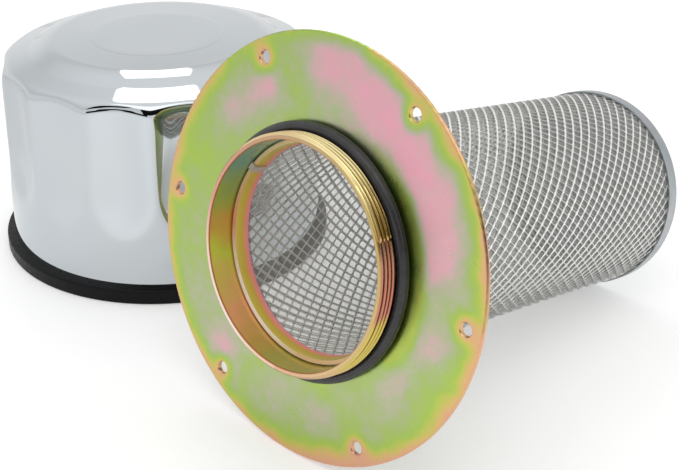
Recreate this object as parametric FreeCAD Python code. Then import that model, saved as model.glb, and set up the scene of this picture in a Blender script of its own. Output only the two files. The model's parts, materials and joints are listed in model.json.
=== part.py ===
import FreeCAD, Part
import math
import os
from FreeCAD import Placement, Rotation, Vector

# Hydraulic filler breather, its screw cap taken off and stood on the table behind the strainer unit.
# Millimetres. Each of the two assemblies is drawn upright about its own Z axis and then placed.

# Sheet and strip thicknesses
FLANGE_T = 2.0
SHELL_T = 1.2
BAND_T = 0.8
DISC_T = 0.8
BASE_PLATE_T = 1.5

# Mounting flange, local z = 0 on its front face
FLANGE_R = 89.0
FLANGE_EDGE_R = 0.8
BOLT_COUNT = 6
BOLT_HOLE_R = 2.75
BOLT_EDGE_W = 8.0
BOLT_CIRCLE_R = FLANGE_R - BOLT_EDGE_W
BOLT_FIRST_DEG = 28.6
HOLE_CHAMFER = 0.3

# Threaded neck and the ring of rubber round its foot
THREAD_CREST_R = 49.9
THREAD_DEPTH = 1.3
NECK_ROOT_R = THREAD_CREST_R - THREAD_DEPTH
NECK_WALL = 1.7
NECK_BORE_R = NECK_ROOT_R - NECK_WALL
NECK_FOOT_W = 0.8
NECK_FOOT_R = NECK_ROOT_R + NECK_FOOT_W
NECK_H = 12.7
NECK_UNDERCUT_H = 4.2
NECK_RIM_CHAMFER = 1.5
NECK_BORE_CHAMFER = 0.5
O_RING_CORD = 5.0

# Strainer basket: split channel collar, three layers of wall, top band and end cap
COLLAR_GAP = 0.7
COLLAR_OUT_R = NECK_BORE_R - COLLAR_GAP
COLLAR_LIP_W = 1.6
COLLAR_TAPER = 1.0
COLLAR_INNER_H = 6.7
COLLAR_OUTER_H = 9.0
COLLAR_SPLIT_W = 2.0
TAB_DEG = 57.0
TAB_W = 3.4
TAB_DROP = 5.8
TAB_OVERHANG = 0.4
INNER_MESH_T = 0.6
GAUZE_T = 0.3
OUTER_MESH_T = 0.9
LAYER_GAP = 0.05
BASKET_L = 205.0
BAND_H = 10.0
END_CAP_H = 7.8
END_CAP_EDGE_R = 1.5

# Openings of the expanded-metal walls
MESH_ROWS = 10
MESH_COLUMNS = 12
INNER_MESH_ROWS = 6
INNER_MESH_COLUMNS = 8
STRAND_W = 3.2
MESH_BORDER = 13.0

# Threaded ring, base plate and spider under the air filter
RUNNING_GAP = 0.2
THREAD_RING_WALL = 6.9
THREAD_RING_OUT_R = THREAD_CREST_R + RUNNING_GAP + THREAD_RING_WALL
THREAD_RING_FOOT = 0.5
THREAD_RING_LEDGE_W = 6.0
THREAD_RING_LEDGE_T = 2.0
BASE_PLATE_Z = 12.0
BASE_PLATE_RIM_H = 7.0
PLATE_FIT = 0.1
VENT_COUNT = 12
VENT_R = 4.5
SPIDER_RIM_W = 6.5
SPIDER_T = 1.5
SPIDER_HUB_R = 12.0
SPIDER_ARM_W = 9.0
SPIDER_ARMS = 3

# Air filter element
CORE_OVERHANG = 1.0
ELEMENT_IN_R = THREAD_RING_OUT_R - CORE_OVERHANG
PLEAT_DEPTH = 13.4
ELEMENT_OUT_R = ELEMENT_IN_R + PLEAT_DEPTH
AIR_GAP = 8.5
CAP_H = 113.0
ELEMENT_HEADROOM = 14.0
ELEMENT_TOP = CAP_H - ELEMENT_HEADROOM
PLEATS = 40
PAPER_W = 3.0
CORE_T = 0.9
CORE_SLOTS = 10
CORE_SLOT_W = 14.0
CORE_SLOT_MARGIN = 9.0
DISC_RIM_H = 7.0
GASKET_MARGIN = 2.0
GASKET_T = 3.0

# Cap shell, local z = 0 on the table, wide enough for the element and the air round it
FLUTE_DEPTH = 2.2
SHOULDER_R = ELEMENT_OUT_R + DISC_T + AIR_GAP + SHELL_T + FLUTE_DEPTH
SIDE_FLARE = 1.6
HEM_R = SHOULDER_R + SIDE_FLARE
HEM_TOP = 7.6
SHOULDER_ROUND = 8.0
LEDGE_W = 9.7
LEDGE_DEG = 15.0
STEP_DEG = 27.0
STEP_W = 5.0
CROWN_ROUND = 20.0
CROWN_DROP = 0.6
DISC_R = 33.5
DISC_EDGE_W = 1.5
FLUTE_COUNT = 15
FLUTE_HOLLOW_R = 69.0
FLUTE_FOOT_H = 37.0
FLUTE_FOOT_RISE = 21.0
FLUTE_FIRST_DEG = 0.0

# Rubber ring on the shell's hem
HEM_SEAL_OUT_W = 4.3
HEM_SEAL_OUT_R = HEM_R + HEM_SEAL_OUT_W
HEM_SEAL_IN_W = 2.1
HEM_SEAL_IN_R = HEM_R - SHELL_T - HEM_SEAL_IN_W
HEM_SEAL_FLOOR = 2.0
HEM_SEAL_LEG_H = 6.4
HEM_SEAL_EDGE_R = 1.2

# Stud, spacer, washer and nut that clamp the element in the cap
STUD_R = 4.0
STUD_FLANGE_R = 13.0
STUD_FLANGE_T = 1.5
STUD_END_Z = 3.5
STUD_CLEAR = 0.2
SPACER_WALL = 3.0
WASHER_R = 9.0
WASHER_T = 1.2
NUT_FLATS = 13.0
NUT_H = 6.5

# Place of the cap on the table, from the flange's contact point
CAP_X = 98.4
CAP_GAP = 18.6
CAP_Y = FLANGE_R + CAP_GAP + HEM_SEAL_OUT_R

AXIS = Vector(0, 0, 1)
ORIGIN = Vector(0, 0, 0)


def point(r, z):
    """A point of a profile in the XZ half-plane."""
    return Vector(r, 0, z)


def revolve_edges(edges, degrees=360.0, start=0.0):
    """A solid turned from closed profile edges, from angle start over the given angle."""
    face = Part.Face(Part.Wire(edges))
    face.rotate(ORIGIN, AXIS, start)
    return face.revolve(ORIGIN, AXIS, degrees)


def turned(points, degrees=360.0, start=0.0):
    """A solid turned from a closed polygon of (r, z) corners."""
    corners = [point(r, z) for r, z in points]
    corners.append(corners[0])
    edges = [Part.LineSegment(a, b).toShape() for a, b in zip(corners, corners[1:])]
    return revolve_edges(edges, degrees, start)


def tube(r_in, r_out, z_low, z_high):
    return turned([(r_in, z_low), (r_out, z_low), (r_out, z_high), (r_in, z_high)])


def cylinder(r, z_low, z_high):
    return Part.makeCylinder(r, z_high - z_low, Vector(0, 0, z_low))


def round_about(shape, count, first_deg=0.0):
    """Copies of a shape spaced evenly round the axis."""
    copies = []
    for index in range(count):
        copy = shape.copy()
        copy.rotate(ORIGIN, AXIS, first_deg + index * 360.0 / count)
        copies.append(copy)
    return copies


def circle_edges(solid, radius, z):
    """The solid's full circles of one radius at one height."""
    found = []
    for edge in solid.Edges:
        curve = edge.Curve
        if not isinstance(curve, Part.Circle) or abs(curve.Radius - radius) > 1e-4:
            continue
        centre = curve.Center
        if math.hypot(centre.x, centre.y) < 1e-4 and abs(centre.z - z) < 1e-4:
            found.append(edge)
    return found


# Strainer unit

def mounting_flange():
    """Round plate with a rounded rim and six plain screw holes."""
    plate = tube(NECK_FOOT_R, FLANGE_R, -FLANGE_T, 0.0)
    rims = circle_edges(plate, FLANGE_R, 0.0) + circle_edges(plate, FLANGE_R, -FLANGE_T)
    plate = plate.makeFillet(FLANGE_EDGE_R, rims)
    r_top = BOLT_HOLE_R + HOLE_CHAMFER
    hole = turned([(0, -FLANGE_T - 1), (BOLT_HOLE_R, -FLANGE_T - 1), (BOLT_HOLE_R, -HOLE_CHAMFER),
                   (r_top, 0), (r_top, 1), (0, 1)])
    hole.translate(Vector(BOLT_CIRCLE_R, 0, 0))
    return plate.cut(Part.makeCompound(round_about(hole, BOLT_COUNT, BOLT_FIRST_DEG)))


def threaded_neck():
    """Turned ring let into the flange by its foot: undercut for the seal, thread land above it."""
    return turned([
        (NECK_BORE_R, -FLANGE_T), (NECK_FOOT_R, -FLANGE_T), (NECK_FOOT_R, 0), (NECK_ROOT_R, 0),
        (NECK_ROOT_R, NECK_UNDERCUT_H),
        (THREAD_CREST_R, NECK_UNDERCUT_H + THREAD_CREST_R - NECK_ROOT_R),
        (THREAD_CREST_R, NECK_H - NECK_RIM_CHAMFER), (THREAD_CREST_R - NECK_RIM_CHAMFER, NECK_H),
        (NECK_BORE_R + NECK_BORE_CHAMFER, NECK_H), (NECK_BORE_R, NECK_H - NECK_BORE_CHAMFER)])


def neck_o_ring():
    cord_r = O_RING_CORD / 2
    return Part.makeTorus(NECK_ROOT_R + cord_r, cord_r, Vector(0, 0, cord_r))


def collar_inner_r(depth):
    """Radius of the collar's tapered inner face at a depth below its top."""
    return COLLAR_OUT_R - COLLAR_LIP_W - COLLAR_TAPER * depth / COLLAR_INNER_H


def strainer_collar():
    """Channel ring rolled from strip, its ends parted by a narrow split."""
    foot = -COLLAR_INNER_H
    ring = turned([
        (COLLAR_OUT_R, 0), (COLLAR_OUT_R, -COLLAR_OUTER_H), (COLLAR_OUT_R - BAND_T / 2, -COLLAR_OUTER_H),
        (COLLAR_OUT_R - BAND_T / 2, -BAND_T), (collar_inner_r(BAND_T) + BAND_T / 2, -BAND_T),
        (collar_inner_r(COLLAR_INNER_H) + BAND_T / 2, foot), (collar_inner_r(COLLAR_INNER_H), foot),
        (collar_inner_r(0), 0)])
    split = Part.makeBox(2 * COLLAR_OUT_R, COLLAR_SPLIT_W, 2 * COLLAR_OUTER_H,
                         Vector(0, -COLLAR_SPLIT_W / 2, -1.5 * COLLAR_OUTER_H))
    split.rotate(ORIGIN, AXIS, TAB_DEG)
    return ring.cut(split)


def collar_tab():
    """Tongue folded over the collar's lip and down its inner face, across the split."""
    width_deg = math.degrees(TAB_W / COLLAR_OUT_R)
    return turned([
        (COLLAR_OUT_R + TAB_OVERHANG, 0), (COLLAR_OUT_R + TAB_OVERHANG, BAND_T),
        (collar_inner_r(0) - BAND_T, BAND_T), (collar_inner_r(TAB_DROP) - BAND_T, -TAB_DROP),
        (collar_inner_r(TAB_DROP), -TAB_DROP), (collar_inner_r(0), 0)],
        width_deg, TAB_DEG - width_deg / 2)


def layer_radii():
    """Inner and outer radius of each layer of the basket's wall, from the collar outwards."""
    layers = {}
    r = COLLAR_OUT_R
    for name, thickness in (("inner", INNER_MESH_T), ("gauze", GAUZE_T), ("outer", OUTER_MESH_T)):
        layers[name] = (r + LAYER_GAP, r + LAYER_GAP + thickness)
        r += LAYER_GAP + thickness
    return layers


def basket_r():
    """Outside radius of the basket's wall, inside its pressed ends."""
    return layer_radii()["outer"][1] + LAYER_GAP


def basket_floor_z():
    return -FLANGE_T - BASKET_L


def wall_span():
    """Foot and top of the basket's walls, between the floor of the end cap and the lip of the top band."""
    return basket_floor_z() + BAND_T, -FLANGE_T - BAND_T


def expanded_wall(r_in, r_out, rows, columns):
    """Tube wall with staggered rows of diamond openings between crossing strands."""
    z_low, z_top = wall_span()
    wall = tube(r_in, r_out, z_low, z_top)
    pitch_z = (z_top - z_low - 2 * MESH_BORDER) / rows
    pitch_deg = 360.0 / columns
    half_wide = math.pi * r_out / columns
    slant = math.hypot(pitch_z, half_wide)
    half_z = pitch_z - STRAND_W * slant / (2 * half_wide)
    half_y = half_wide - STRAND_W * slant / (2 * pitch_z)
    start = r_in * math.cos(math.asin(half_y / r_in)) - 1
    corners = [(-half_y, 0), (0, -half_z), (half_y, 0), (0, half_z), (-half_y, 0)]
    diamond = Part.makePolygon([Vector(start, y, z) for y, z in corners])
    prism = Part.Face(diamond).extrude(Vector(r_out + 1 - start, 0, 0))
    openings = []
    for row in range(rows):
        raised = prism.copy()
        raised.translate(Vector(0, 0, z_low + MESH_BORDER + pitch_z * (row + 0.5)))
        openings += round_about(raised, columns, pitch_deg * (row % 2) / 2)
    return wall.cut(Part.makeCompound(openings))


def outer_mesh():
    return expanded_wall(*layer_radii()["outer"], MESH_ROWS, MESH_COLUMNS)


def inner_mesh():
    return expanded_wall(*layer_radii()["inner"], INNER_MESH_ROWS, INNER_MESH_COLUMNS)


def filter_gauze():
    return tube(*layer_radii()["gauze"], *wall_span())


def basket_top_band():
    """Pressed ring under the neck's foot, its lip turned in over the tops of the walls."""
    r = basket_r()
    lip_r = COLLAR_OUT_R + LAYER_GAP
    top = -FLANGE_T
    return turned([
        (lip_r, top), (r + BAND_T, top), (r + BAND_T, top - BAND_H), (r, top - BAND_H),
        (r, top - BAND_T), (lip_r, top - BAND_T)])


def basket_end_cap():
    """Pressed cup over the far end of the walls."""
    r = basket_r()
    floor = basket_floor_z()
    cup = turned([(0, floor), (r + BAND_T, floor), (r + BAND_T, floor + END_CAP_H),
                  (r, floor + END_CAP_H), (r, floor + BAND_T), (0, floor + BAND_T)])
    return cup.makeFillet(END_CAP_EDGE_R, circle_edges(cup, r + BAND_T, floor))


# Cap

def crown_corners():
    """Meeting points of the crown's straight stretches, from the shoulder inwards."""
    ledge = math.radians(LEDGE_DEG)
    step = math.radians(STEP_DEG)
    ledge_r = SHOULDER_R - SHOULDER_ROUND * (1 - math.sin(ledge))
    valley_r = ledge_r - LEDGE_W
    step_r = valley_r - STEP_W
    flat_r = step_r - CROWN_ROUND * math.sin(step)
    flat_z = CAP_H - CROWN_DROP
    step_z = flat_z - CROWN_ROUND * (1 - math.cos(step))
    valley_z = step_z - STEP_W * math.tan(step)
    ledge_z = valley_z - LEDGE_W * math.tan(ledge)
    return (ledge_r, ledge_z), (valley_r, valley_z), (step_r, step_z), (flat_r, flat_z)


def shoulder_z():
    """Height where the side ends and the shoulder's bend begins."""
    return crown_corners()[0][1] - SHOULDER_ROUND * math.cos(math.radians(LEDGE_DEG))


def side_r(z):
    """Radius of the shell's tapered side."""
    return HEM_R - SIDE_FLARE * (z - HEM_TOP) / (shoulder_z() - HEM_TOP)


def shell_body(inset, foot):
    """The shell's outside as a solid, or its inside when inset by the sheet's thickness."""
    ledge, valley, step, flat = crown_corners()
    ledge_a = math.radians(LEDGE_DEG)
    step_a = math.radians(STEP_DEG)
    round_a = (ledge_a + math.pi / 2) / 2
    lid_foot_r = DISC_R + DISC_EDGE_W

    def inward(corner, angle, distance=inset):
        """A corner moved into the metal, square to a slope of the given angle."""
        return point(corner[0] - distance * math.sin(angle), corner[1] - distance * math.cos(angle))

    def on_round(centre, radius, angle):
        """A point of a convex bend where its slope has the given angle."""
        return point(centre[0] + (radius - inset) * math.sin(angle), centre[1] + (radius - inset) * math.cos(angle))

    shoulder_centre = (SHOULDER_R - SHOULDER_ROUND, shoulder_z())
    crown_centre = (flat[0], flat[1] - CROWN_ROUND)
    valley_inset = inset / math.cos((step_a - ledge_a) / 2)
    points = {
        "axis": point(0, CAP_H - inset), "lid": point(DISC_R, CAP_H - inset),
        "lid_foot": point(lid_foot_r, flat[1] - inset), "flat": inward(flat, 0),
        "crown": on_round(crown_centre, CROWN_ROUND, step_a / 2), "step": inward(step, step_a),
        "valley": inward(valley, (ledge_a + step_a) / 2, valley_inset), "ledge": inward(ledge, ledge_a),
        "round": on_round(shoulder_centre, SHOULDER_ROUND, round_a),
        "side": point(SHOULDER_R - inset, shoulder_z()), "hem": point(HEM_R - inset, HEM_TOP),
        "foot": point(HEM_R - inset, foot), "base": point(0, foot)}

    def line(a, b):
        return Part.LineSegment(points[a], points[b]).toShape()

    def arc(a, b, c):
        return Part.Arc(points[a], points[b], points[c]).toShape()

    return revolve_edges([
        line("axis", "lid"), line("lid", "lid_foot"), line("lid_foot", "flat"), arc("flat", "crown", "step"),
        line("step", "valley"), line("valley", "ledge"), arc("ledge", "round", "side"),
        line("side", "hem"), line("hem", "foot"), line("foot", "base"), line("base", "axis")])


def flute_former(inset):
    """Barrel-ended former that presses one grip flute into the side."""
    floor_r = SHOULDER_R - FLUTE_DEPTH
    start_z = FLUTE_FOOT_H + FLUTE_FOOT_RISE
    run_out = side_r(FLUTE_FOOT_H) - floor_r
    foot_round = (FLUTE_FOOT_RISE ** 2 + run_out ** 2) / (2 * run_out)
    end_a = 1.3 * math.asin(FLUTE_FOOT_RISE / foot_round)
    centre_r = FLUTE_HOLLOW_R - foot_round

    def on_foot(angle):
        reach = foot_round + inset
        return point(centre_r + reach * math.cos(angle), start_z - reach * math.sin(angle))

    top = point(FLUTE_HOLLOW_R + inset, CAP_H)
    start = on_foot(0)
    end = on_foot(end_a)
    edges = [
        Part.LineSegment(point(0, CAP_H), top).toShape(), Part.LineSegment(top, start).toShape(),
        Part.Arc(start, on_foot(end_a / 2), end).toShape(),
        Part.LineSegment(end, point(0, end.z)).toShape(), Part.LineSegment(point(0, end.z), point(0, CAP_H)).toShape()]
    former = revolve_edges(edges, 180.0, 90.0)
    former.translate(Vector(floor_r + FLUTE_HOLLOW_R, 0, 0))
    return former


def fluted(body, inset):
    formers = round_about(flute_former(inset), FLUTE_COUNT, FLUTE_FIRST_DEG)
    for former in formers:
        body = body.cut(former)
    return body


def cap_shell():
    """Deep-drawn shell with a stepped crown and pressed grip flutes."""
    outside = fluted(shell_body(0.0, HEM_SEAL_FLOOR), 0.0)
    inside = fluted(shell_body(SHELL_T, HEM_SEAL_FLOOR), SHELL_T)
    return outside.cut(inside)


def cap_seal_ring():
    """Rubber ring with a groove that grips the shell's hem."""
    ring = turned([
        (HEM_SEAL_IN_R, 0), (HEM_SEAL_OUT_R, 0), (HEM_SEAL_OUT_R, HEM_TOP), (HEM_R, HEM_TOP),
        (HEM_R, HEM_SEAL_FLOOR), (HEM_R - SHELL_T, HEM_SEAL_FLOOR), (HEM_R - SHELL_T, HEM_SEAL_LEG_H),
        (HEM_SEAL_IN_R, HEM_SEAL_LEG_H)])
    rims = circle_edges(ring, HEM_SEAL_OUT_R, 0) + circle_edges(ring, HEM_SEAL_OUT_R, HEM_TOP)
    return ring.makeFillet(HEM_SEAL_EDGE_R, rims)


def ring_top_z():
    return BASE_PLATE_Z + BASE_PLATE_T


def cap_thread_ring():
    """Turned ring that screws over the neck, with a ledge under the base plate."""
    bore = THREAD_CREST_R + RUNNING_GAP
    ledge_r = THREAD_RING_OUT_R + THREAD_RING_LEDGE_W
    ledge_z = BASE_PLATE_Z - THREAD_RING_LEDGE_T
    return turned([
        (bore + NECK_BORE_CHAMFER, THREAD_RING_FOOT), (THREAD_RING_OUT_R, THREAD_RING_FOOT),
        (THREAD_RING_OUT_R, ledge_z), (ledge_r, ledge_z), (ledge_r, BASE_PLATE_Z),
        (THREAD_RING_OUT_R, BASE_PLATE_Z), (THREAD_RING_OUT_R, ring_top_z()), (bore, ring_top_z()),
        (bore, THREAD_RING_FOOT + NECK_BORE_CHAMFER)])


def cap_base_plate():
    """Pressed plate across the shell's mouth, pierced with the air inlets."""
    rim_top = BASE_PLATE_Z + BASE_PLATE_RIM_H
    rim_r = side_r(rim_top) - SHELL_T - PLATE_FIT
    plate = turned([
        (THREAD_RING_OUT_R + PLATE_FIT, BASE_PLATE_Z), (rim_r, BASE_PLATE_Z), (rim_r, rim_top),
        (rim_r - BASE_PLATE_T, rim_top), (rim_r - BASE_PLATE_T, ring_top_z()),
        (THREAD_RING_OUT_R + PLATE_FIT, ring_top_z())])
    vent_circle_r = (gasket_radii()[1] + rim_r - BASE_PLATE_T) / 2
    vent = cylinder(VENT_R, BASE_PLATE_Z - 1, ring_top_z() + 1)
    vent.translate(Vector(vent_circle_r, 0, 0))
    return plate.cut(Part.makeCompound(round_about(vent, VENT_COUNT)))


def bridge_spider():
    """Three-armed bridge over the threaded ring that takes the stud."""
    z = ring_top_z()
    rim_in = THREAD_RING_OUT_R - SPIDER_RIM_W
    arm = Part.makeBox(rim_in + SPIDER_RIM_W / 2, SPIDER_ARM_W, SPIDER_T, Vector(0, -SPIDER_ARM_W / 2, z))
    spider = tube(rim_in, THREAD_RING_OUT_R, z, z + SPIDER_T).fuse(cylinder(SPIDER_HUB_R, z, z + SPIDER_T))
    spider = spider.fuse(round_about(arm, SPIDER_ARMS)).removeSplitter()
    return spider.cut(cylinder(STUD_R + STUD_CLEAR, z - 1, z + SPIDER_T + 1))


def element_foot_z():
    return ring_top_z() + GASKET_T


def gasket_radii():
    return ELEMENT_IN_R + GASKET_MARGIN, ELEMENT_OUT_R - GASKET_MARGIN


def element_gasket():
    return tube(*gasket_radii(), ring_top_z(), element_foot_z())


def element_lower_disc():
    """Channel ring that holds the foot of the pleated paper."""
    z = element_foot_z()
    r_in = ELEMENT_IN_R - CORE_T
    return turned([
        (r_in - DISC_T, z), (ELEMENT_OUT_R + DISC_T, z), (ELEMENT_OUT_R + DISC_T, z + DISC_RIM_H),
        (ELEMENT_OUT_R, z + DISC_RIM_H), (ELEMENT_OUT_R, z + DISC_T), (r_in, z + DISC_T),
        (r_in, z + DISC_RIM_H), (r_in - DISC_T, z + DISC_RIM_H)])


def element_upper_disc():
    """Closed lid of the element, with a hole for the stud."""
    z = ELEMENT_TOP
    return turned([
        (STUD_R + STUD_CLEAR, z), (ELEMENT_OUT_R, z), (ELEMENT_OUT_R, z - DISC_RIM_H),
        (ELEMENT_OUT_R + DISC_T, z - DISC_RIM_H), (ELEMENT_OUT_R + DISC_T, z + DISC_T),
        (STUD_R + STUD_CLEAR, z + DISC_T)])


def pleated_element():
    """Paper folded into a star-shaped ring."""
    foot = element_foot_z() + DISC_T

    def star(r_tip, r_root):
        corners = []
        for index in range(2 * PLEATS + 1):
            angle = math.pi * index / PLEATS
            r = r_root if index % 2 else r_tip
            corners.append(Vector(r * math.cos(angle), r * math.sin(angle), foot))
        return Part.Face(Part.makePolygon(corners)).extrude(Vector(0, 0, ELEMENT_TOP - foot))

    return star(ELEMENT_OUT_R, ELEMENT_IN_R + PAPER_W).cut(star(ELEMENT_OUT_R - PAPER_W, ELEMENT_IN_R))


def element_core():
    """Slotted tube that backs the paper."""
    foot = element_foot_z() + DISC_T
    wall = tube(ELEMENT_IN_R - CORE_T, ELEMENT_IN_R, foot, ELEMENT_TOP)
    slot = Part.makeBox(2 * CORE_T + 4, CORE_SLOT_W, ELEMENT_TOP - foot - 2 * CORE_SLOT_MARGIN,
                        Vector(ELEMENT_IN_R - CORE_T - 2, -CORE_SLOT_W / 2, foot + CORE_SLOT_MARGIN))
    return wall.cut(Part.makeCompound(round_about(slot, CORE_SLOTS)))


def stud_flange_z():
    return CAP_H - SHELL_T - STUD_FLANGE_T


def retaining_stud():
    """Stud welded under the crown by its round flange."""
    return turned([
        (0, STUD_END_Z), (STUD_R, STUD_END_Z), (STUD_R, stud_flange_z()), (STUD_FLANGE_R, stud_flange_z()),
        (STUD_FLANGE_R, CAP_H - SHELL_T), (0, CAP_H - SHELL_T)])


def stud_spacer():
    r_in = STUD_R + STUD_CLEAR
    return tube(r_in, r_in + SPACER_WALL, ELEMENT_TOP + DISC_T, stud_flange_z())


def stud_washer():
    return tube(STUD_R + STUD_CLEAR, WASHER_R, ring_top_z() - WASHER_T, ring_top_z())


def retaining_nut():
    """Hexagon nut on the stud's lower end."""
    top = ring_top_z() - WASHER_T
    corner_r = NUT_FLATS / math.sqrt(3)
    corners = [Vector(corner_r * math.cos(math.pi * k / 3), corner_r * math.sin(math.pi * k / 3), top - NUT_H)
               for k in range(7)]
    return Part.Face(Part.makePolygon(corners)).extrude(Vector(0, 0, NUT_H)).cut(cylinder(STUD_R, top - NUT_H, top))


# Placing

def rest_tilt():
    """Tilt of the unit's axis when it lies on the rims of its flange and end cap."""
    reach = basket_reach()
    span = math.hypot(*reach)
    return math.acos((END_CAP_EDGE_R - FLANGE_EDGE_R) / span) - math.atan2(reach[0], reach[1])


def basket_reach():
    """From the flange's rounded rim to the end cap's: along the axis, and across it."""
    along = FLANGE_T + BASKET_L - END_CAP_EDGE_R - (FLANGE_T - FLANGE_EDGE_R)
    across = (FLANGE_R - FLANGE_EDGE_R) - (basket_r() + BAND_T - END_CAP_EDGE_R)
    return along, across


def unit_placement():
    """Lays the unit down, neck towards -X, its flange touching the table at x = 0."""
    tilt = rest_tilt()
    rim_r = FLANGE_R - FLANGE_EDGE_R
    rim_back = FLANGE_T - FLANGE_EDGE_R
    x = rim_r * math.sin(tilt) - rim_back * math.cos(tilt)
    z = rim_r * math.cos(tilt) + rim_back * math.sin(tilt) + FLANGE_EDGE_R
    return Placement(Vector(x, 0, z), Rotation(Vector(0, 1, 0), math.degrees(tilt) - 90.0))


UNIT_PIECES = [
    mounting_flange, threaded_neck, neck_o_ring, strainer_collar, collar_tab, basket_top_band,
    outer_mesh, filter_gauze, inner_mesh, basket_end_cap]
CAP_PIECES = [
    cap_shell, cap_seal_ring, cap_thread_ring, cap_base_plate, bridge_spider, element_gasket,
    element_lower_disc, element_core, pleated_element, element_upper_disc, retaining_stud,
    stud_spacer, stud_washer, retaining_nut]


def place(pieces, placement, placed):
    for piece in pieces:
        shape = piece()
        shape.Placement = placement.multiply(shape.Placement)
        placed[piece.__name__] = shape


def main():
    placed = {}
    place(UNIT_PIECES, unit_placement(), placed)
    place(CAP_PIECES, Placement(Vector(CAP_X, CAP_Y, 0), Rotation()), placed)
    box = Part.makeCompound(list(placed.values())).optimalBoundingBox(False, False)
    shift = Vector(-(box.XMin + box.XMax) / 2, -(box.YMin + box.YMax) / 2, 0)
    os.makedirs("parts", exist_ok=True)
    for name, shape in placed.items():
        shape.translate(shift)
        solids = shape.Solids
        if len(solids) != 1 or not shape.isValid():
            raise ValueError("%s has %d solids, valid %s" % (name, len(solids), shape.isValid()))
        solids[0].exportStep("parts/%s.step" % name)
    print("shift", shift, "box", box)


main()
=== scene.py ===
import json
import math

import bpy
import numpy as np
from mathutils import Matrix, Vector


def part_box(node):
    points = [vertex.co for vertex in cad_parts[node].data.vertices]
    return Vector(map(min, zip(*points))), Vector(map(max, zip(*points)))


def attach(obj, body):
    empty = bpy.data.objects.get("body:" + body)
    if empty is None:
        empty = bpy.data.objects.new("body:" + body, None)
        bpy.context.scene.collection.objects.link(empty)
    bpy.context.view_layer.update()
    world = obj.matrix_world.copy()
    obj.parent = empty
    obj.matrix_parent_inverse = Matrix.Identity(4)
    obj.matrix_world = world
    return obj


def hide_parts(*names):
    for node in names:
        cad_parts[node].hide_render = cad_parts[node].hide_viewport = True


# Looks of the hydraulic filler breather, in metres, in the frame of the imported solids.

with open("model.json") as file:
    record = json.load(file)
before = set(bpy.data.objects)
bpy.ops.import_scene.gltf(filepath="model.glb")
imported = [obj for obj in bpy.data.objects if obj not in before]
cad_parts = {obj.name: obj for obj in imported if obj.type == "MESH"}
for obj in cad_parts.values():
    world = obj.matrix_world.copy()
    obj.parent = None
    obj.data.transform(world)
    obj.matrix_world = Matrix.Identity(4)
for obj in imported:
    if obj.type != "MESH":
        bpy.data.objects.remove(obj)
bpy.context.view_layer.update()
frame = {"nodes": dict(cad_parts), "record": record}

TURN = 2 * math.pi
MILLIMETRE = 0.001

# View of the photograph
CAMERA_PLACE = Vector((-0.432474, -0.438807, 0.344842))
CAMERA_HEADING_DEG = 43.953
CAMERA_PITCH_DEG = 27.461
LENS_MM = 71.646
SENSOR_MM = 36.0

# Strainer unit, local z = 0 on the flange's front face
FLANGE_T = 0.002
FLANGE_R = 0.089
BOLT_COUNT = 6
BOLT_CIRCLE_R = 0.081
BOLT_FIRST_DEG = 28.6

# Threaded neck
NECK_BORE_R = 0.0469
NECK_FOOT_R = 0.0494
NECK_ROOT_R = 0.0486
NECK_H = 0.0127
NECK_UNDERCUT_H = 0.0042
NECK_RIM_CHAMFER = 0.0015
NECK_EDGE = 0.0003
NECK_COLUMNS = 240
THREAD_CREST_R = 0.0499
THREAD_PITCH = 0.002
THREAD_DEPTH = 0.0012
THREAD_FLANK_SLOPE = 1.45
THREAD_CREST_SHARE = 0.2
THREAD_SEAM_DEG = -63.0
THREAD_SEAM_SHIFT = 0.4
THREAD_ROWS_PER_PITCH = 12

# Basket walls
WALL_TOP = -0.0028
WALL_FOOT = -0.2062
GAUZE_IN_R = 0.0469
GAUZE_OUT_R = 0.0472
GAUZE_COLUMNS = 180
GAUZE_PITCH_MM = 0.5

# Strand families: how many go round the wall, and how far each runs round it per length along it
STEEP = (51, -0.914)
SHALLOW = (59, 0.722)

# Strand width as a share of its own: at a crossing, and how much less in the middle of an opening
STRAND_SWELL = 1.25
STRAND_WAIST = 0.35
STRAND_CORNERS = ((1, 1), (-1, 1), (-1, -1), (1, -1))

# Strand layers: piece, node, own and crossed family, radius, width, thickness, lean, steps per opening
STRAND_LAYERS = (
    ("outer_strands_steep", "outer_mesh", STEEP, SHALLOW, 0.0479, 0.00085, 0.0004, 24, 4),
    ("outer_strands_shallow", "outer_mesh", SHALLOW, STEEP, 0.0477, 0.0006, 0.0004, -24, 4),
    ("inner_strands_steep", "inner_mesh", STEEP, SHALLOW, 0.04655, 0.00036, 0.0003, 14, 2),
    ("inner_strands_shallow", "inner_mesh", SHALLOW, STEEP, 0.04655, 0.00036, 0.0003, -14, 2))

# Cap shell, local z = 0 on the table
CAP_H = 0.113
SHELL_T = 0.0012
SHOULDER_R = 0.0821
SIDE_FLARE = 0.0016
HEM_R = SHOULDER_R + SIDE_FLARE
HEM_TOP = 0.0076
HEM_FOOT = 0.002
SHOULDER_ROUND = 0.008
LEDGE_W = 0.0097
LEDGE_DEG = 15.0
STEP_W = 0.005
STEP_DEG = 27.0
VALLEY_REACH = 0.0012
CROWN_ROUND = 0.020
CROWN_DROP = 0.0006
DISC_R = 0.0335
DISC_EDGE_W = 0.0024
DISC_STEP = 0.00012
FLUTE_COUNT = 15
FLUTE_DEPTH = 0.0022
FLUTE_HOLLOW_R = 0.069
FLUTE_FOOT_H = 0.037
FLUTE_FOOT_RISE = 0.021
FLUTE_END_DROP = 2.5 * FLUTE_FOOT_RISE
NO_FLUTE_R = 2 * SHOULDER_R
FLUTE_EDGE_ROUND = 0.0016
FLUTE_TOP_ROUND = 0.0034

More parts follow.
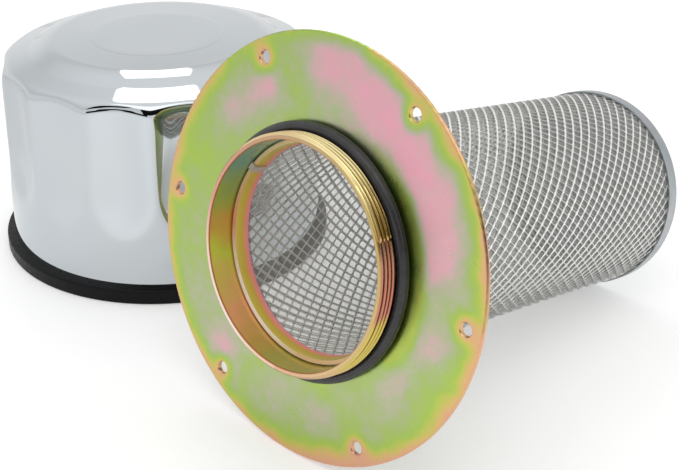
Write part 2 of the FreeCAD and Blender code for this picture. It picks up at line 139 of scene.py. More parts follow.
# Mesh steps along the shell's section, and columns round it
DISC_STEPS = 8
CROWN_STEPS = 14
STEP_STEPS = 4
VALLEY_STEPS = 6
LEDGE_STEPS = 5
SHOULDER_STEPS = 32
SIDE_STEPS = 34
COLUMNS_PER_FLUTE = 24

# Zinc film colours, from thin to thick
ZINC_FILM = (
    (0.00, "C9957A"), (0.08, "D9A587"), (0.16, "D2B272"), (0.25, "B9BE5E"), (0.34, "A2BE5A"),
    (0.46, "A3B86E"), (0.57, "ABB48C"), (0.67, "BCAFA0"), (0.77, "D3A8AC"), (0.90, "DFA3B1"),
    (1.00, "E3A3A6"))

# Pink and green fields of the flange: up its face, along Y, reach in millimetres, and change of film
FILM_FIELDS = (
    (74, -8, 34, 0.24), (60, -34, 30, 0.34), (44, -54, 26, 0.34), (18, -62, 26, 0.28),
    (-14, -66, 18, 0.24), (60, 34, 15, 0.20), (46, 53, 15, 0.20), (54, 44, 10, 0.10),
    (-60, 42, 22, 0.16), (-44, 58, 16, 0.12), (-40, -52, 20, 0.16), (-66, -18, 16, 0.14),
    (-72, 16, 16, 0.12), (22, 74, 34, -0.12), (-26, 66, 22, -0.06), (78, 6, 15, 0.20),
    (-56, -16, 12, -0.14), (-36, -74, 20, -0.14), (68, 24, 14, -0.05), (56, -58, 10, -0.12),
    (-60, -58, 14, -0.08))
FILM_LEAST = 0.3
SEAL_SIDE_FALL = 0.36
RIM_WANDER_MM = 9.0
HOLE_RING_MM = 10.0

# Film colours round the neck and the collar, from their lowest point over the top and back, with painted
# highlights in the palest stops of the outside, the rim and the lip
NECK_INSIDE = (
    (0.0, "C2B45A"), (0.12, "C8BC52"), (0.3, "DCC06A"), (0.5, "D0BC70"), (0.57, "A8B888"),
    (0.65, "80AC90"), (0.71, "A8B84C"), (0.75, "D4A444"), (0.8, "CCD846"), (0.88, "F4AC74"),
    (0.95, "D0A850"), (1.0, "BDB252"))
# Painted highlight: the pale cream stops at 0.42 and 0.5, over the top of the thread; the other stops are
# film colours
NECK_OUTSIDE_FILM_AND_HIGHLIGHT = (
    (0.0, "D9B78A"), (0.09, "E0B894"), (0.14, "D8C46C"), (0.19, "D4BC60"), (0.22, "C88470"),
    (0.28, "C4806A"), (0.325, "D8A080"), (0.335, "D0AC5C"), (0.42, "FFF0B0"), (0.5, "ECD8A0"),
    (0.65, "D9B088"), (0.8, "E0A890"))
# Painted highlight: the near-white stops at 0.8 and 0.9, on the rim's lower left; the other stops are film
# colours
NECK_RIM_FILM_AND_HIGHLIGHT = (
    (0.0, "E8B898"), (0.12, "DDBE88"), (0.3, "C9B068"), (0.42, "BEA872"), (0.6, "C69C7C"),
    (0.72, "E8A09C"), (0.8, "FFDCD4"), (0.9, "FFEDE4"), (0.97, "F8D0B8"))
# Painted highlight: the near-white stops at 0.84 and 0.93, on the lip's lower left; the other stops are
# film colours
COLLAR_LIP_FILM_AND_HIGHLIGHT = (
    (0.0, "F4CCA8"), (0.2, "E8C890"), (0.5, "EED8A0"), (0.65, "F0C898"), (0.76, "E89C88"),
    (0.84, "FFF4EE"), (0.93, "FFFFFA"), (1.0, "F8D8B8"))

# Film colours down the collar's inner face, over this depth
COLLAR_FACE = ((0.0, "E8CC68"), (0.3, "DCC450"), (0.55, "D8BC48"), (0.72, "F0A868"), (0.9, "FC98A0"))
COLLAR_FACE_MM = 7.5

# Studio: plain light, the floor's own light, and how far the floor reaches
AMBIENT = 0.8
FLOOR_GLOW = 0.3
FLOOR_REACH = 6.0

# Brightness of the white tent that metal shows: sine of the height angle, level
TENT_LEVELS = (
    (0.0, 0.97), (0.22, 1.0), (0.34, 0.94), (0.47, 0.84), (0.6, 0.93), (0.8, 1.05), (1.0, 1.12))

# Glow that metal sees in the floor: turn from GLOW_START_DEG in shares of GLOW_SWEEP_DEG, level
GLOW_START_DEG = -287.0
GLOW_SWEEP_DEG = 200.0
GLOW_LEVELS = (
    (0.0, 0.08), (0.21, 0.12), (0.295, 0.22), (0.37, 0.28), (0.445, 0.31), (0.53, 0.30), (0.61, 0.34),
    (0.685, 0.42), (0.745, 0.38), (0.82, 0.28), (0.885, 0.38), (1.0, 0.42))

# Glowing panels overhead: name, near and far end as (bearing from the cap, distance, half width), radiance
PANEL_H = 1.5
PANELS = (
    ("back_panel", (54.5, 0.55, 0.275), (52.5, 2.5, 0.13), 2.6),
    ("front_panel", (-140, 0.32, 0.5), (-140, 1.35, 0.5), 1.8))

# Dark upright cards behind the camera: name, bearing from the cap, half width, low and high edge
CARD_DISTANCE = 1.3
DARK_CARDS = (
    ("left_upper_card", -166.8, 0.114, 0.6, 1.4),
    ("left_lower_card", -158, 0.206, 0.17, 0.36),
    ("right_card", -128, 0.66, 0.38, 1.4))


def srgb(code):
    """Linear colour, with alpha 1, of a screen colour such as A5C060."""
    channels = []
    for start in (0, 2, 4):
        value = int(code[start:start + 2], 16) / 255
        channels.append(value / 12.92 if value <= 0.04045 else ((value + 0.055) / 1.055) ** 2.4)
    return (*channels, 1.0)


def unit_place():
    """Matrix of the strainer unit: x up the flange's face, y along the row's Y, z out of the neck."""
    mount = next(m for m in frame["record"]["mounts"] if m["name"] == "flange_bolts")
    out = -Vector(mount["axis"]).normalized()
    side = Vector((0, 1, 0))
    place = Matrix((side.cross(out), side, out)).transposed().to_4x4()
    place.translation = Vector(mount["pos_m"]) + out * FLANGE_T
    return place


def cap_place():
    """Matrix of the cap, standing on the table."""
    low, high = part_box("cap_shell")
    return Matrix.Translation(((low.x + high.x) / 2, (low.y + high.y) / 2, 0))


UNIT = unit_place()
CAP = cap_place()
ROW = Matrix.Identity(4)


# Meshes

def make_piece(name, points, faces, place, material, smooth_deg, slot, *nodes):
    """A new mesh object in the row frame that rides on the part and stands for CAD nodes."""
    mesh = bpy.data.meshes.new(name)
    mesh.from_pydata([tuple(p) for p in points], [], faces)
    mesh.transform(place)
    mesh.update()
    mesh.shade_smooth()
    mesh.set_sharp_from_angle(angle=math.radians(smooth_deg))
    mesh.materials.append(material)
    piece = bpy.data.objects.new(name, mesh)
    bpy.context.scene.collection.objects.link(piece)
    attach(piece, "root")
    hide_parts(*nodes)


def ring_faces(columns, rows, closed_section):
    """Quads of a grid that closes round the axis, point index = column * rows + row."""
    faces = []
    last = rows if closed_section else rows - 1
    for column in range(columns):
        here = column * rows
        there = (column + 1) % columns * rows
        for row in range(last):
            below = (row + 1) % rows
            faces.append((here + row, here + below, there + below, there + row))
    return faces


def ring_points(columns, section):
    """Points of a turned form whose section, a list of (r, z), may change with the angle."""
    points = []
    for column in range(columns):
        angle = TURN * column / columns
        for r, z in section(angle):
            points.append((r * math.cos(angle), r * math.sin(angle), z))
    return points


def arc(centre, radius, start_deg, end_deg, steps):
    """Points of a section's arc, angles measured from the outward direction."""
    points = []
    for step in range(steps + 1):
        angle = math.radians(start_deg + (end_deg - start_deg) * step / steps)
        points.append((centre[0] + radius * math.cos(angle), centre[1] + radius * math.sin(angle)))
    return points


def stretch(start, end, steps):
    """Points between two section points, without the ends."""
    points = []
    for step in range(1, steps):
        share = step / steps
        points.append((start[0] + (end[0] - start[0]) * share, start[1] + (end[1] - start[1]) * share))
    return points


def bend(before, corner, after, steps):
    """Points of a soft bend at a corner between two section points."""
    points = []
    for step in range(steps + 1):
        share = step / steps
        weights = ((1 - share) ** 2, 2 * share * (1 - share), share ** 2)
        corners = list(zip(weights, (before, corner, after)))
        points.append(tuple(sum(weight * p[axis] for weight, p in corners) for axis in (0, 1)))
    return points


def towards(start, end, distance):
    length = math.dist(start, end)
    return tuple(a + (b - a) * distance / length for a, b in zip(start, end))


# Threaded neck

def thread_r(z, angle):
    """Outside radius of the right-hand thread, with its run-in at both ends."""
    past_seam = (angle / TURN - THREAD_SEAM_DEG / 360) % 1.0
    turn = z / THREAD_PITCH - past_seam * (1 - THREAD_SEAM_SHIFT)
    wave = abs(2 * (turn - math.floor(turn)) - 1)
    flank = min(1.0, max(0.0, THREAD_FLANK_SLOPE * wave - THREAD_CREST_SHARE))
    thread = THREAD_CREST_R - THREAD_DEPTH * flank
    foot = NECK_ROOT_R + (z - NECK_UNDERCUT_H)
    head = THREAD_CREST_R - max(0.0, z - (NECK_H - NECK_RIM_CHAMFER))
    return min(thread, foot, head)


def neck_section(angle):
    thread_top = NECK_H - NECK_RIM_CHAMFER / 2
    thread_h = thread_top - NECK_UNDERCUT_H
    rows = int(THREAD_ROWS_PER_PITCH * thread_h / THREAD_PITCH)
    section = [(NECK_BORE_R, -FLANGE_T), (NECK_FOOT_R, -FLANGE_T), (NECK_FOOT_R, 0), (NECK_ROOT_R, 0)]
    for row in range(rows + 1):
        z = NECK_UNDERCUT_H + thread_h * row / rows
        section.append((thread_r(z, angle), z))
    rim_r = THREAD_CREST_R - NECK_RIM_CHAMFER
    half_edge = NECK_EDGE / 2
    section += [(rim_r + half_edge, NECK_H - half_edge), (rim_r, NECK_H)]
    section += [(NECK_BORE_R + 2 * NECK_EDGE, NECK_H), (NECK_BORE_R + half_edge, NECK_H - half_edge)]
    section += [(NECK_BORE_R, NECK_H - 2 * NECK_EDGE)]
    return section


def make_neck(material):
    points = ring_points(NECK_COLUMNS, neck_section)
    faces = ring_faces(NECK_COLUMNS, len(neck_section(0)), True)
    make_piece("neck_with_thread", points, faces, UNIT, material, 40, "yellow_zinc", "threaded_neck")


# Basket walls

def strand_corners(z, arc_length, open_share, r, turn, width, thickness, lean_deg):
    """Corners of one strand at each height; it leans and narrows between its crossings."""
    angle = arc_length / r
    outward = np.stack([np.cos(angle), np.sin(angle), np.zeros_like(z)], 1)
    along = np.stack([-np.sin(angle) * turn, np.cos(angle) * turn, np.ones_like(z)], 1)
    along /= np.linalg.norm(along, axis=1)[:, None]
    across = np.cross(along, outward)
    lean = (np.radians(lean_deg) * open_share)[:, None]
    half_w = (width * (STRAND_SWELL - STRAND_WAIST * open_share) / 2)[:, None]
    broad = (across * np.cos(lean) + outward * np.sin(lean)) * half_w
    thick = (outward * np.cos(lean) - across * np.sin(lean)) * thickness / 2
    centre = outward * r
    centre[:, 2] = z
    return np.stack([centre + broad * a + thick * b for a, b in STRAND_CORNERS], 1)


def strand_faces(base, spans):
    """Sides and ends of one strand whose first corner has the index base."""
    faces = []
    for step in range(spans):
        here = base + 4 * step
        for side in range(4):
            after = (side + 1) % 4
            faces.append((here + side, here + after, here + 4 + after, here + 4 + side))
    end = base + 4 * spans
    faces.append((base + 3, base + 2, base + 1, base))
    faces.append((end, end + 1, end + 2, end + 3))
    return faces


def make_strands(layer, material):
    """One family of helical strands of an expanded-metal wall."""
    name, node, (count, turn), (other_count, other_turn), r, width, thickness, lean_deg, steps = layer
    girth = TURN * r
    crossing_z = girth / (abs(turn - other_turn) * other_count)
    spans = int((WALL_TOP - WALL_FOOT) / crossing_z * steps)
    z = np.linspace(WALL_TOP, WALL_FOOT, spans + 1)
    points = []
    faces = []
    for strand in range(count):
        arc_length = strand * girth / count + turn * z
        phase = (arc_length - other_turn * z) * other_count / girth
        open_share = np.sin(math.pi * phase) ** 2
        corners = strand_corners(z, arc_length, open_share, r, turn, width, thickness, lean_deg)
        faces += strand_faces(len(points), spans)
        points += corners.reshape(-1, 3).tolist()
    make_piece(name, points, faces, UNIT, material, 30, "galvanised_mesh", node)


def make_gauze(material):
    inside = [(GAUZE_IN_R, WALL_TOP), (GAUZE_IN_R, WALL_FOOT)]
    outside = [(GAUZE_OUT_R, WALL_FOOT), (GAUZE_OUT_R, WALL_TOP)]
    section = inside + outside
    points = ring_points(GAUZE_COLUMNS, lambda angle: section)
    faces = ring_faces(GAUZE_COLUMNS, len(section), True)
    make_piece("woven_gauze", points, faces, UNIT, material, 40, "fine_gauze", "filter_gauze")


# Cap shell

def crown_corners():
    """Meeting points of the crown's straight stretches, from the shoulder inwards."""
    ledge = math.radians(LEDGE_DEG)
    step = math.radians(STEP_DEG)
    ledge_r = SHOULDER_R - SHOULDER_ROUND * (1 - math.sin(ledge))
    valley_r = ledge_r - LEDGE_W
    step_r = valley_r - STEP_W
    flat_r = step_r - CROWN_ROUND * math.sin(step)
    flat_z = CAP_H - CROWN_DROP
    step_z = flat_z - CROWN_ROUND * (1 - math.cos(step))
    valley_z = step_z - STEP_W * math.tan(step)
    ledge_z = valley_z - LEDGE_W * math.tan(ledge)
    return (ledge_r, ledge_z), (valley_r, valley_z), (flat_r, flat_z)


def shoulder_z():
    """Height where the side ends and the shoulder's bend begins."""
    return crown_corners()[0][1] - SHOULDER_ROUND * math.cos(math.radians(LEDGE_DEG))


def disc_edge(top):
    """Soft step down round the crown's raised disc."""
    points = []
    for step in range(1, DISC_STEPS + 1):
        share = step / DISC_STEPS
        fall = DISC_STEP * share * share * (3 - 2 * share)
        points.append((DISC_R + DISC_EDGE_W * share, top - fall))
    return points


def shell_profile(inset):
    """Section of the unfluted shell from the crown's centre to the hem, inset into the metal."""
    _, valley, flat = crown_corners()
    top = CAP_H - inset
    crown_centre = (flat[0], flat[1] - CROWN_ROUND)
    crown = arc(crown_centre, CROWN_ROUND - inset, 90, 90 - STEP_DEG, CROWN_STEPS)
    shoulder_centre = (SHOULDER_R - SHOULDER_ROUND, shoulder_z())
    shoulder = arc(shoulder_centre, SHOULDER_ROUND - inset, 90 - LEDGE_DEG, 0, SHOULDER_STEPS)
    half_turn = math.radians((STEP_DEG + LEDGE_DEG) / 2)
    valley_in = inset / math.cos(math.radians((STEP_DEG - LEDGE_DEG) / 2))
    corner = (valley[0] - valley_in * math.sin(half_turn), valley[1] - valley_in * math.cos(half_turn))
    valley_start = towards(corner, crown[-1], VALLEY_REACH)
    valley_end = towards(corner, shoulder[0], VALLEY_REACH)
    edge = disc_edge(top)
    knee = (HEM_R - inset, HEM_TOP)
    hem = (HEM_R - inset, HEM_FOOT)
    profile = [(0, top)] + stretch((0, top), (DISC_R, top), DISC_STEPS) + edge
    profile += stretch(edge[-1], crown[0], DISC_STEPS) + crown
    profile += stretch(crown[-1], valley_start, STEP_STEPS)
    profile += bend(valley_start, corner, valley_end, VALLEY_STEPS)
    profile += stretch(valley_end, shoulder[0], LEDGE_STEPS) + shoulder
    return profile + stretch(shoulder[-1], knee, SIDE_STEPS) + [knee, hem]


def flute_r(angle, z, inset):
    """Distance from the axis to the pressed flute's hollow at an angle from the flute's middle."""
    floor_r = SHOULDER_R - FLUTE_DEPTH
    start_z = FLUTE_FOOT_H + FLUTE_FOOT_RISE
    side_at_foot = HEM_R - SIDE_FLARE * (FLUTE_FOOT_H - HEM_TOP) / (shoulder_z() - HEM_TOP)
    run_out = side_at_foot - floor_r
    foot_round = (FLUTE_FOOT_RISE ** 2 + run_out ** 2) / (2 * run_out)
    drop = max(0.0, start_z - z)
    reach = foot_round + inset
    hollow = FLUTE_HOLLOW_R - foot_round + math.sqrt(max(0.0, reach ** 2 - drop ** 2))
    centre = floor_r + FLUTE_HOLLOW_R
    under = hollow ** 2 - (centre * math.sin(angle)) ** 2
    if under <= 0 or drop > FLUTE_END_DROP:
        return NO_FLUTE_R
    return centre * math.cos(angle) - math.sqrt(under)


def soft_min(a, b, reach):
    """The lesser of two radii, rounded over where they meet."""
    share = min(1.0, max(0.0, 0.5 + 0.5 * (b - a) / reach))
    return b + (a - b) * share - reach * share * (1 - share)


def shell_section(angle, profile, inset):
    """The profile at one angle, pressed in where a flute crosses it."""
    pitch = TURN / FLUTE_COUNT
    off = (angle + pitch / 2) % pitch - pitch / 2
    section = []
    for r, z in profile:
        if r > SHOULDER_R - 2 * SHOULDER_ROUND and z > HEM_TOP:
            above = min(1.0, max(0.0, (z - shoulder_z()) / SHOULDER_ROUND + 0.5))
            edge_round = FLUTE_EDGE_ROUND + (FLUTE_TOP_ROUND - FLUTE_EDGE_ROUND) * above
            r = soft_min(r, flute_r(off, z, inset), edge_round)
        section.append((r, z))
    return section


def close_poles(points, quads, rows):
    """Joins each section's first and last points, which lie on the axis, into one point each."""
    faces = []
    for quad in quads:
        corners = [index % rows if index % rows in (0, rows - 1) else index for index in quad]
        faces.append(tuple(dict.fromkeys(corners)))
    used = sorted({index for face in faces for index in face})
    renumber = {old: new for new, old in enumerate(used)}
    faces = [tuple(renumber[index] for index in face) for face in faces]
    return [points[index] for index in used], faces


def make_shell(material):
    outside = shell_profile(0.0)
    inside = shell_profile(SHELL_T)[::-1]

    def section(angle):
        return shell_section(angle, outside, 0.0) + shell_section(angle, inside, SHELL_T)

    columns = FLUTE_COUNT * COLUMNS_PER_FLUTE
    rows = len(outside) + len(inside)
    quads = ring_faces(columns, rows, False)
    points, faces = close_poles(ring_points(columns, section), quads, rows)
    make_piece("fluted_shell", points, faces, CAP, material, 50, "bright_chrome", "cap_shell")


# Node trees

class Nodes:
    """A node tree with short helpers for its fields of numbers."""

    def __init__(self, tree):
        self.tree = tree

    def feed(self, socket, value):
        if isinstance(value, bpy.types.NodeSocket):
            self.tree.links.new(value, socket)
        elif value is not None:
            socket.default_value = value

    def node(self, kind, *inputs, **settings):
        """A node whose first sockets take the given values or links."""
        node = self.tree.nodes.new(kind)
        for key, value in settings.items():
            setattr(node, key, value)
        for socket, value in zip(node.inputs, inputs):
            self.feed(socket, value)
        return node

    def maths(self, operation, *values):
        return self.node("ShaderNodeMath", *values, operation=operation).outputs[0]

    def sum(self, *values):
        total = values[0]
        for value in values[1:]:
            total = self.maths("ADD", total, value)
        return total

    def minus(self, first, second):
        return self.maths("SUBTRACT", first, second)

    def times(self, *values):
        product = values[0]
        for value in values[1:]:
            product = self.maths("MULTIPLY", product, value)
        return product

    def span(self, value, low, high, start=0.0, end=1.0):
        """A value's share between low and high, smoothed, as start to end."""
        node = self.node("ShaderNodeMapRange", value, low, high, start, end)
        node.interpolation_type = "SMOOTHSTEP"
        return node.outputs[0]

    def blend(self, share, first, second, data_type="FLOAT"):
        """A number or colour between two others."""
        node = self.node("ShaderNodeMix", data_type=data_type)
        for socket, value in (("Factor", share), ("A", first), ("B", second)):
            self.feed(node.inputs[socket], value)
        return node.outputs["Result"]

    def curve(self, value, levels):
        """A value's level on a curve through points of (place, level)."""
        node = self.node("ShaderNodeFloatCurve", None, value)
        node.mapping.clip_max_y = 2.0
        points = node.mapping.curves[0].points
        for place, level in levels[1:-1]:
            points.new(place, level)
        for point, (place, level) in zip(points, levels):
            point.location = (place, level)
        node.mapping.update()
        return node.outputs[0]


class Look(Nodes):
    """A material with short helpers for its colour fields."""

    def __init__(self, name, **values):
        self.material = bpy.data.materials.new(name)
        self.material.use_nodes = True
        super().__init__(self.material.node_tree)
        self.shader = self.tree.nodes["Principled BSDF"]
        for socket, value in values.items():
            self.shader.inputs[socket.replace("_", " ")].default_value = value

    def drive(self, socket, value):
        self.feed(self.shader.inputs[socket], value)

    def place(self, matrix=ROW):
        """Position on the object in millimetres, in the local frame of a matrix."""
        position = self.node("ShaderNodeTexCoord").outputs["Object"]
        inverse = matrix.inverted()
        mapping = self.node("ShaderNodeMapping", position)
        mapping.inputs["Scale"].default_value = (1 / MILLIMETRE,) * 3
        mapping.inputs["Rotation"].default_value = inverse.to_euler()
        mapping.inputs["Location"].default_value = inverse.translation / MILLIMETRE
        return mapping.outputs[0]

    def noise(self, position, size_mm, detail=2.0, stretch_by=(1, 1, 1)):
        """Noise from 0 to 1 whose patches are about size_mm across."""
        scaled = self.node("ShaderNodeVectorMath", position, stretch_by, operation="MULTIPLY").outputs[0]
        node = self.node("ShaderNodeTexNoise", scaled)
        node.inputs["Scale"].default_value = 1 / size_mm
        node.inputs["Detail"].default_value = detail
        return node.outputs[0]

    def ramp(self, value, *stops):
        """A colour from stops of (place, screen colour)."""
        node = self.node("ShaderNodeValToRGB", value)
        elements = node.color_ramp.elements
        while len(elements) < len(stops):
            elements.new(1.0)
        for element, (place, code) in zip(elements, stops):
            element.position = place
            element.color = srgb(code)
        return node.outputs[0]

    def mix(self, share, first, second):
        """A colour between two colours, the second as a screen colour or a field."""
        second = srgb(second) if isinstance(second, str) else second
        return self.blend(share, first, second, "RGBA")

    def bump(self, height, distance, strength=1.0):
        node = self.node("ShaderNodeBump")
        node.inputs["Distance"].default_value = distance
        node.inputs["Strength"].default_value = strength
        self.feed(node.inputs["Height"], height)
        self.drive("Normal", node.outputs[0])


def axes(look, position):
    """Local x, y and z of a position."""
    return list(look.node("ShaderNodeSeparateXYZ", position).outputs)


def off_axis(look, x, y):
    """Distance from the line where x and y are 0."""
    return look.maths("SQRT", look.sum(look.times(x, x), look.times(y, y)))


def round_axis(look, x, y):
    """Angle round the local axis in degrees, 0 at the top."""
    return look.times(look.maths("ARCTAN2", y, x), 360 / TURN)


def spot(look, x, y, centre_x, centre_y, reach, rise):
    """A soft round patch, rise at its centre and 0 at its reach."""
    off_centre = off_axis(look, look.minus(x, centre_x), look.minus(y, centre_y))
    return look.span(off_centre, 0, reach, rise, 0)


# Materials of the strainer unit

def mottled_film(look, position, x, y):
    """Thickness of the flange's zinc film in its pink and green fields."""
    coarse = look.times(look.noise(position, 26, 4.0), 0.5)
    fine = look.times(look.noise(position, 5, 4.0), 0.22)
    film = look.sum(coarse, fine, 0.14)
    for centre_x, centre_y, reach, rise in FILM_FIELDS:
        film = look.sum(film, spot(look, x, y, centre_x, centre_y, reach, rise))
    return film


def beside_seal(look, x, y, radius):
    """1 on the flange close to the O-ring's right side, where the film is thinner and green."""
    near_ring = look.span(radius, 56, 64, 1.0, 0.0)
    on_right = look.span(y, -46, -10, 1.0, 0.0)
    return look.times(near_ring, on_right, look.span(x, -50, -15))


def rim_thinning(look, position, x, y, radius):
    """Factor that thins the film to gold along the flange's wandering edge."""
    wander = look.times(look.noise(position, 16, 3.0), RIM_WANDER_MM)
    low_right = look.times(look.span(x, -82, -50, 3.5, 0.0), look.span(y, -30, 30, 1.0, 0.0))
    over_top = look.times(look.span(x, 40, 80, 0.0, -4.0), look.span(y, -35, 0))
    wider = look.sum(look.span(y, -60, 60, 0.6, 0.2), low_right, over_top)
    inside = look.minus(look.minus(FLANGE_R / MILLIMETRE, radius), wander)
    return look.span(look.minus(inside, wider), -8, 6, 0.12, 1.0)


def hole_thinning(look, x, y):
    """Factor that thins the film to gold round each screw hole."""
    circle_r = BOLT_CIRCLE_R / MILLIMETRE
    factor = 1.0
    for hole in range(BOLT_COUNT):
        angle = math.radians(BOLT_FIRST_DEG + hole * 360 / BOLT_COUNT)
        ring = spot(look, x, y, circle_r * math.cos(angle), circle_r * math.sin(angle), HOLE_RING_MM, 0.94)
        factor = look.times(factor, look.minus(1.0, ring))
    return factor


def zinc_flange():
    look = Look("yellow_zinc_flange", Metallic=1.0)
    position = look.place(UNIT)
    x, y = axes(look, position)[:2]
    radius = off_axis(look, x, y)
    film = mottled_film(look, position, x, y)
    film = look.minus(film, look.times(beside_seal(look, x, y, radius), SEAL_SIDE_FALL))
    film = look.maths("MAXIMUM", film, FILM_LEAST)
    film = look.times(film, rim_thinning(look, position, x, y, radius), hole_thinning(look, x, y))
    look.drive("Base Color", look.ramp(film, *ZINC_FILM))
    look.drive("Roughness", look.span(look.noise(position, 9, 3.0), 0.2, 0.8, 0.26, 0.34))
    look.bump(look.noise(position, 0.5, 4.0), 0.00001, 0.12)
    return look.material


def round_share(look, x, y):
    """Share of the way round the axis: 0 and 1 at the lowest point, 0.5 at the top."""
    return look.sum(look.maths("DIVIDE", round_axis(look, x, y), 360), 0.5)


def zinc_neck():
    """Zinc film that changes round the neck, brown on the inner edge, with painted shade of dark brown in
    the thread's grooves.
    """
    look = Look("yellow_zinc_neck", Roughness=0.26)
    position = look.place(UNIT)
    x, y, z = axes(look, position)
    radius = off_axis(look, x, y)
    bore = NECK_BORE_R / MILLIMETRE
    crest = THREAD_CREST_R / MILLIMETRE
    height = NECK_H / MILLIMETRE
    thread_top = height - NECK_RIM_CHAMFER / MILLIMETRE
    around = round_share(look, x, y)
    drift = look.times(look.sum(look.noise(position, 20, 2.0), -0.5), 0.12)
    film = look.sum(around, drift)
    # Painted shade: share of the thread's grooves, which are mixed to dark brown below
    groove_painted_shade = look.times(
        look.span(radius, crest - 1.0, crest - 0.3, 1.0, 0.0),
        look.span(z, thread_top - 0.3, thread_top, 0.95, 0.0))
    inner_edge = look.times(
        look.span(radius, bore + 0.1, bore + 0.6, 1.0, 0.0), look.span(z, height - 0.9, height - 0.5))
    is_outside = look.span(radius, bore + 0.3, bore + 0.7)
    # The outside's ramp holds a painted highlight over the top of the thread
    outer = look.mix(groove_painted_shade, look.ramp(film, *NECK_OUTSIDE_FILM_AND_HIGHLIGHT), "33200E")
    body = look.mix(is_outside, look.ramp(film, *NECK_INSIDE), outer)
    # The rim's ramp holds a painted highlight on its lower left
    body = look.mix(look.span(z, height - 0.4, height - 0.2), body, look.ramp(around, *NECK_RIM_FILM_AND_HIGHLIGHT))
    look.drive("Base Color", look.mix(inner_edge, body, "B8743C"))
    shine = look.span(radius, bore + 0.3, bore + 0.7, 0.5, 0.9)
    look.drive("Metallic", look.times(shine, look.span(z, height - 0.4, height - 0.2, 1.0, 0.5)))
    look.bump(look.noise(position, 0.4, 3.0, (1, 1, 6)), 0.00001, 0.4)
    return look.material


def zinc_collar():
    look = Look("yellow_zinc_collar", Roughness=0.3)
    position = look.place(UNIT)
    x, y, z = axes(look, position)
    depth = look.maths("DIVIDE", look.times(z, -1), COLLAR_FACE_MM)
    bands = look.sum(depth, look.times(look.noise(position, 14, 2.0), 0.2))
    on_lip = look.span(z, -0.5, -0.15)
    # The lip's ramp holds a painted highlight on its lower left
    lip = look.ramp(round_share(look, x, y), *COLLAR_LIP_FILM_AND_HIGHLIGHT)
    look.drive("Base Color", look.mix(on_lip, look.ramp(bands, *COLLAR_FACE), lip))
    look.drive("Metallic", look.minus(0.35, look.times(on_lip, 0.2)))
    look.bump(look.noise(position, 0.5, 3.0), 0.00001, 0.4)
    return look.material


def tab_metal():
    look = Look("tab_strip", Metallic=0.3, Roughness=0.45)
    position = look.place(UNIT)
    colour = look.ramp(look.noise(position, 4, 3.0), (0.3, "B9A49A"), (0.55, "CDBDB2"), (0.8, "D8C6B4"))
    look.drive("Base Color", colour)
    look.bump(look.noise(position, 0.5, 3.0), 0.00002, 0.5)
    return look.material


def mesh_steel(name, low, high, metallic, rough):
    look = Look(name, Metallic=metallic, Roughness=rough)
    position = look.place()
    look.drive("Base Color", look.ramp(look.noise(position, 2.5, 3.0), (0.3, low), (0.7, high)))
    look.bump(look.noise(position, 0.3, 3.0), 0.00001, 0.6)
    return look.material


def wire_ridge(look, along):
    """Sine ridges of woven wire along one direction, 1 between two wires."""
    return look.maths("ABSOLUTE", look.maths("SINE", look.times(along, math.pi / GAUZE_PITCH_MM)))


def gauze_steel():
    """Fine woven wire: sine ridges along and across, see-through between them."""
    look = Look("fine_gauze_wire", Metallic=0.0, Roughness=0.5)
    position = look.place(UNIT)
    x, y, z = axes(look, position)
    around = look.times(round_axis(look, x, y), TURN / 360 * GAUZE_OUT_R / MILLIMETRE)
    open_share = look.times(wire_ridge(look, around), wire_ridge(look, z))
    uneven = look.times(look.noise(position, 5, 3.0), 0.08)
    look.drive("Alpha", look.sum(look.span(open_share, 0.1, 0.8, 0.34, 0.03), uneven))
    look.drive("Base Color", look.ramp(look.noise(position, 3, 3.0), (0.3, "CACAC6"), (0.7, "DCDCD8")))
    look.bump(open_share, 0.0001, 0.4)
    return look.material


# Materials of both assemblies and of the cap

def clear_zinc():
    look = Look("clear_zinc_plate", Metallic=1.0)
    position = look.place()
    colour = look.ramp(look.noise(position, 12, 4.0), (0.3, "949C9D"), (0.5, "A0A6A8"), (0.7, "AEACB2"))
    look.drive("Base Color", colour)
    look.drive("Roughness", look.span(look.noise(position, 3, 4.0), 0.3, 0.7, 0.3, 0.42))
    look.bump(look.noise(position, 0.6, 4.0), 0.00001, 0.5)
    return look.material


def rubber(name, low, high, gloss, rough):
    look = Look(name, Specular_IOR_Level=gloss)
    position = look.place()
    look.drive("Base Color", look.ramp(look.noise(position, 6, 4.0), (0.3, low), (0.7, high)))
    look.drive("Roughness", look.span(look.noise(position, 2.5, 4.0), 0.3, 0.7, rough, rough + 0.14))
    look.bump(look.noise(position, 0.4, 4.0), 0.00002, 0.5)
    return look.material


def chrome():
    look = Look("bright_chrome_plate", Metallic=1.0)
    position = look.place()
    look.drive("Base Color", look.ramp(look.noise(position, 60, 1.0), (0.3, "BFC5C9"), (0.7, "C3C8CA")))
    look.drive("Roughness", look.span(look.noise(position, 25, 3.0), 0.3, 0.8, 0.02, 0.06))
    return look.material


def turned_steel():
    look = Look("turned_bright_steel", Metallic=1.0, Roughness=0.3)
    position = look.place()
    look.drive("Base Color", look.ramp(look.noise(position, 8, 3.0), (0.3, "A5A7A8"), (0.7, "B8BABA")))
    look.bump(look.noise(position, 0.8, 2.0, (1, 1, 8)), 0.00002, 0.5)
    return look.material


def filter_paper():
    look = Look("resin_filter_paper", Roughness=0.85)
    position = look.place()
    look.drive("Base Color", look.ramp(look.noise(position, 1.5, 4.0), (0.3, "C9B27C"), (0.7, "DCC794")))
    look.bump(look.noise(position, 0.3, 4.0), 0.00005, 0.6)
    return look.material


def pressed_felt():
    look = Look("pressed_grey_felt", Roughness=0.95)
    position = look.place()
    look.drive("Base Color", look.ramp(look.noise(position, 1.0, 5.0), (0.3, "5E5E5E"), (0.7, "7C7C7A")))
    look.bump(look.noise(position, 0.25, 5.0), 0.0001, 0.8)
    return look.material


# Whole object

def dress(material, *nodes):
    """Gives CAD nodes their finish."""
    for name in nodes:
        mesh = frame["nodes"][name].data
        mesh.materials.clear()
        mesh.materials.append(material)


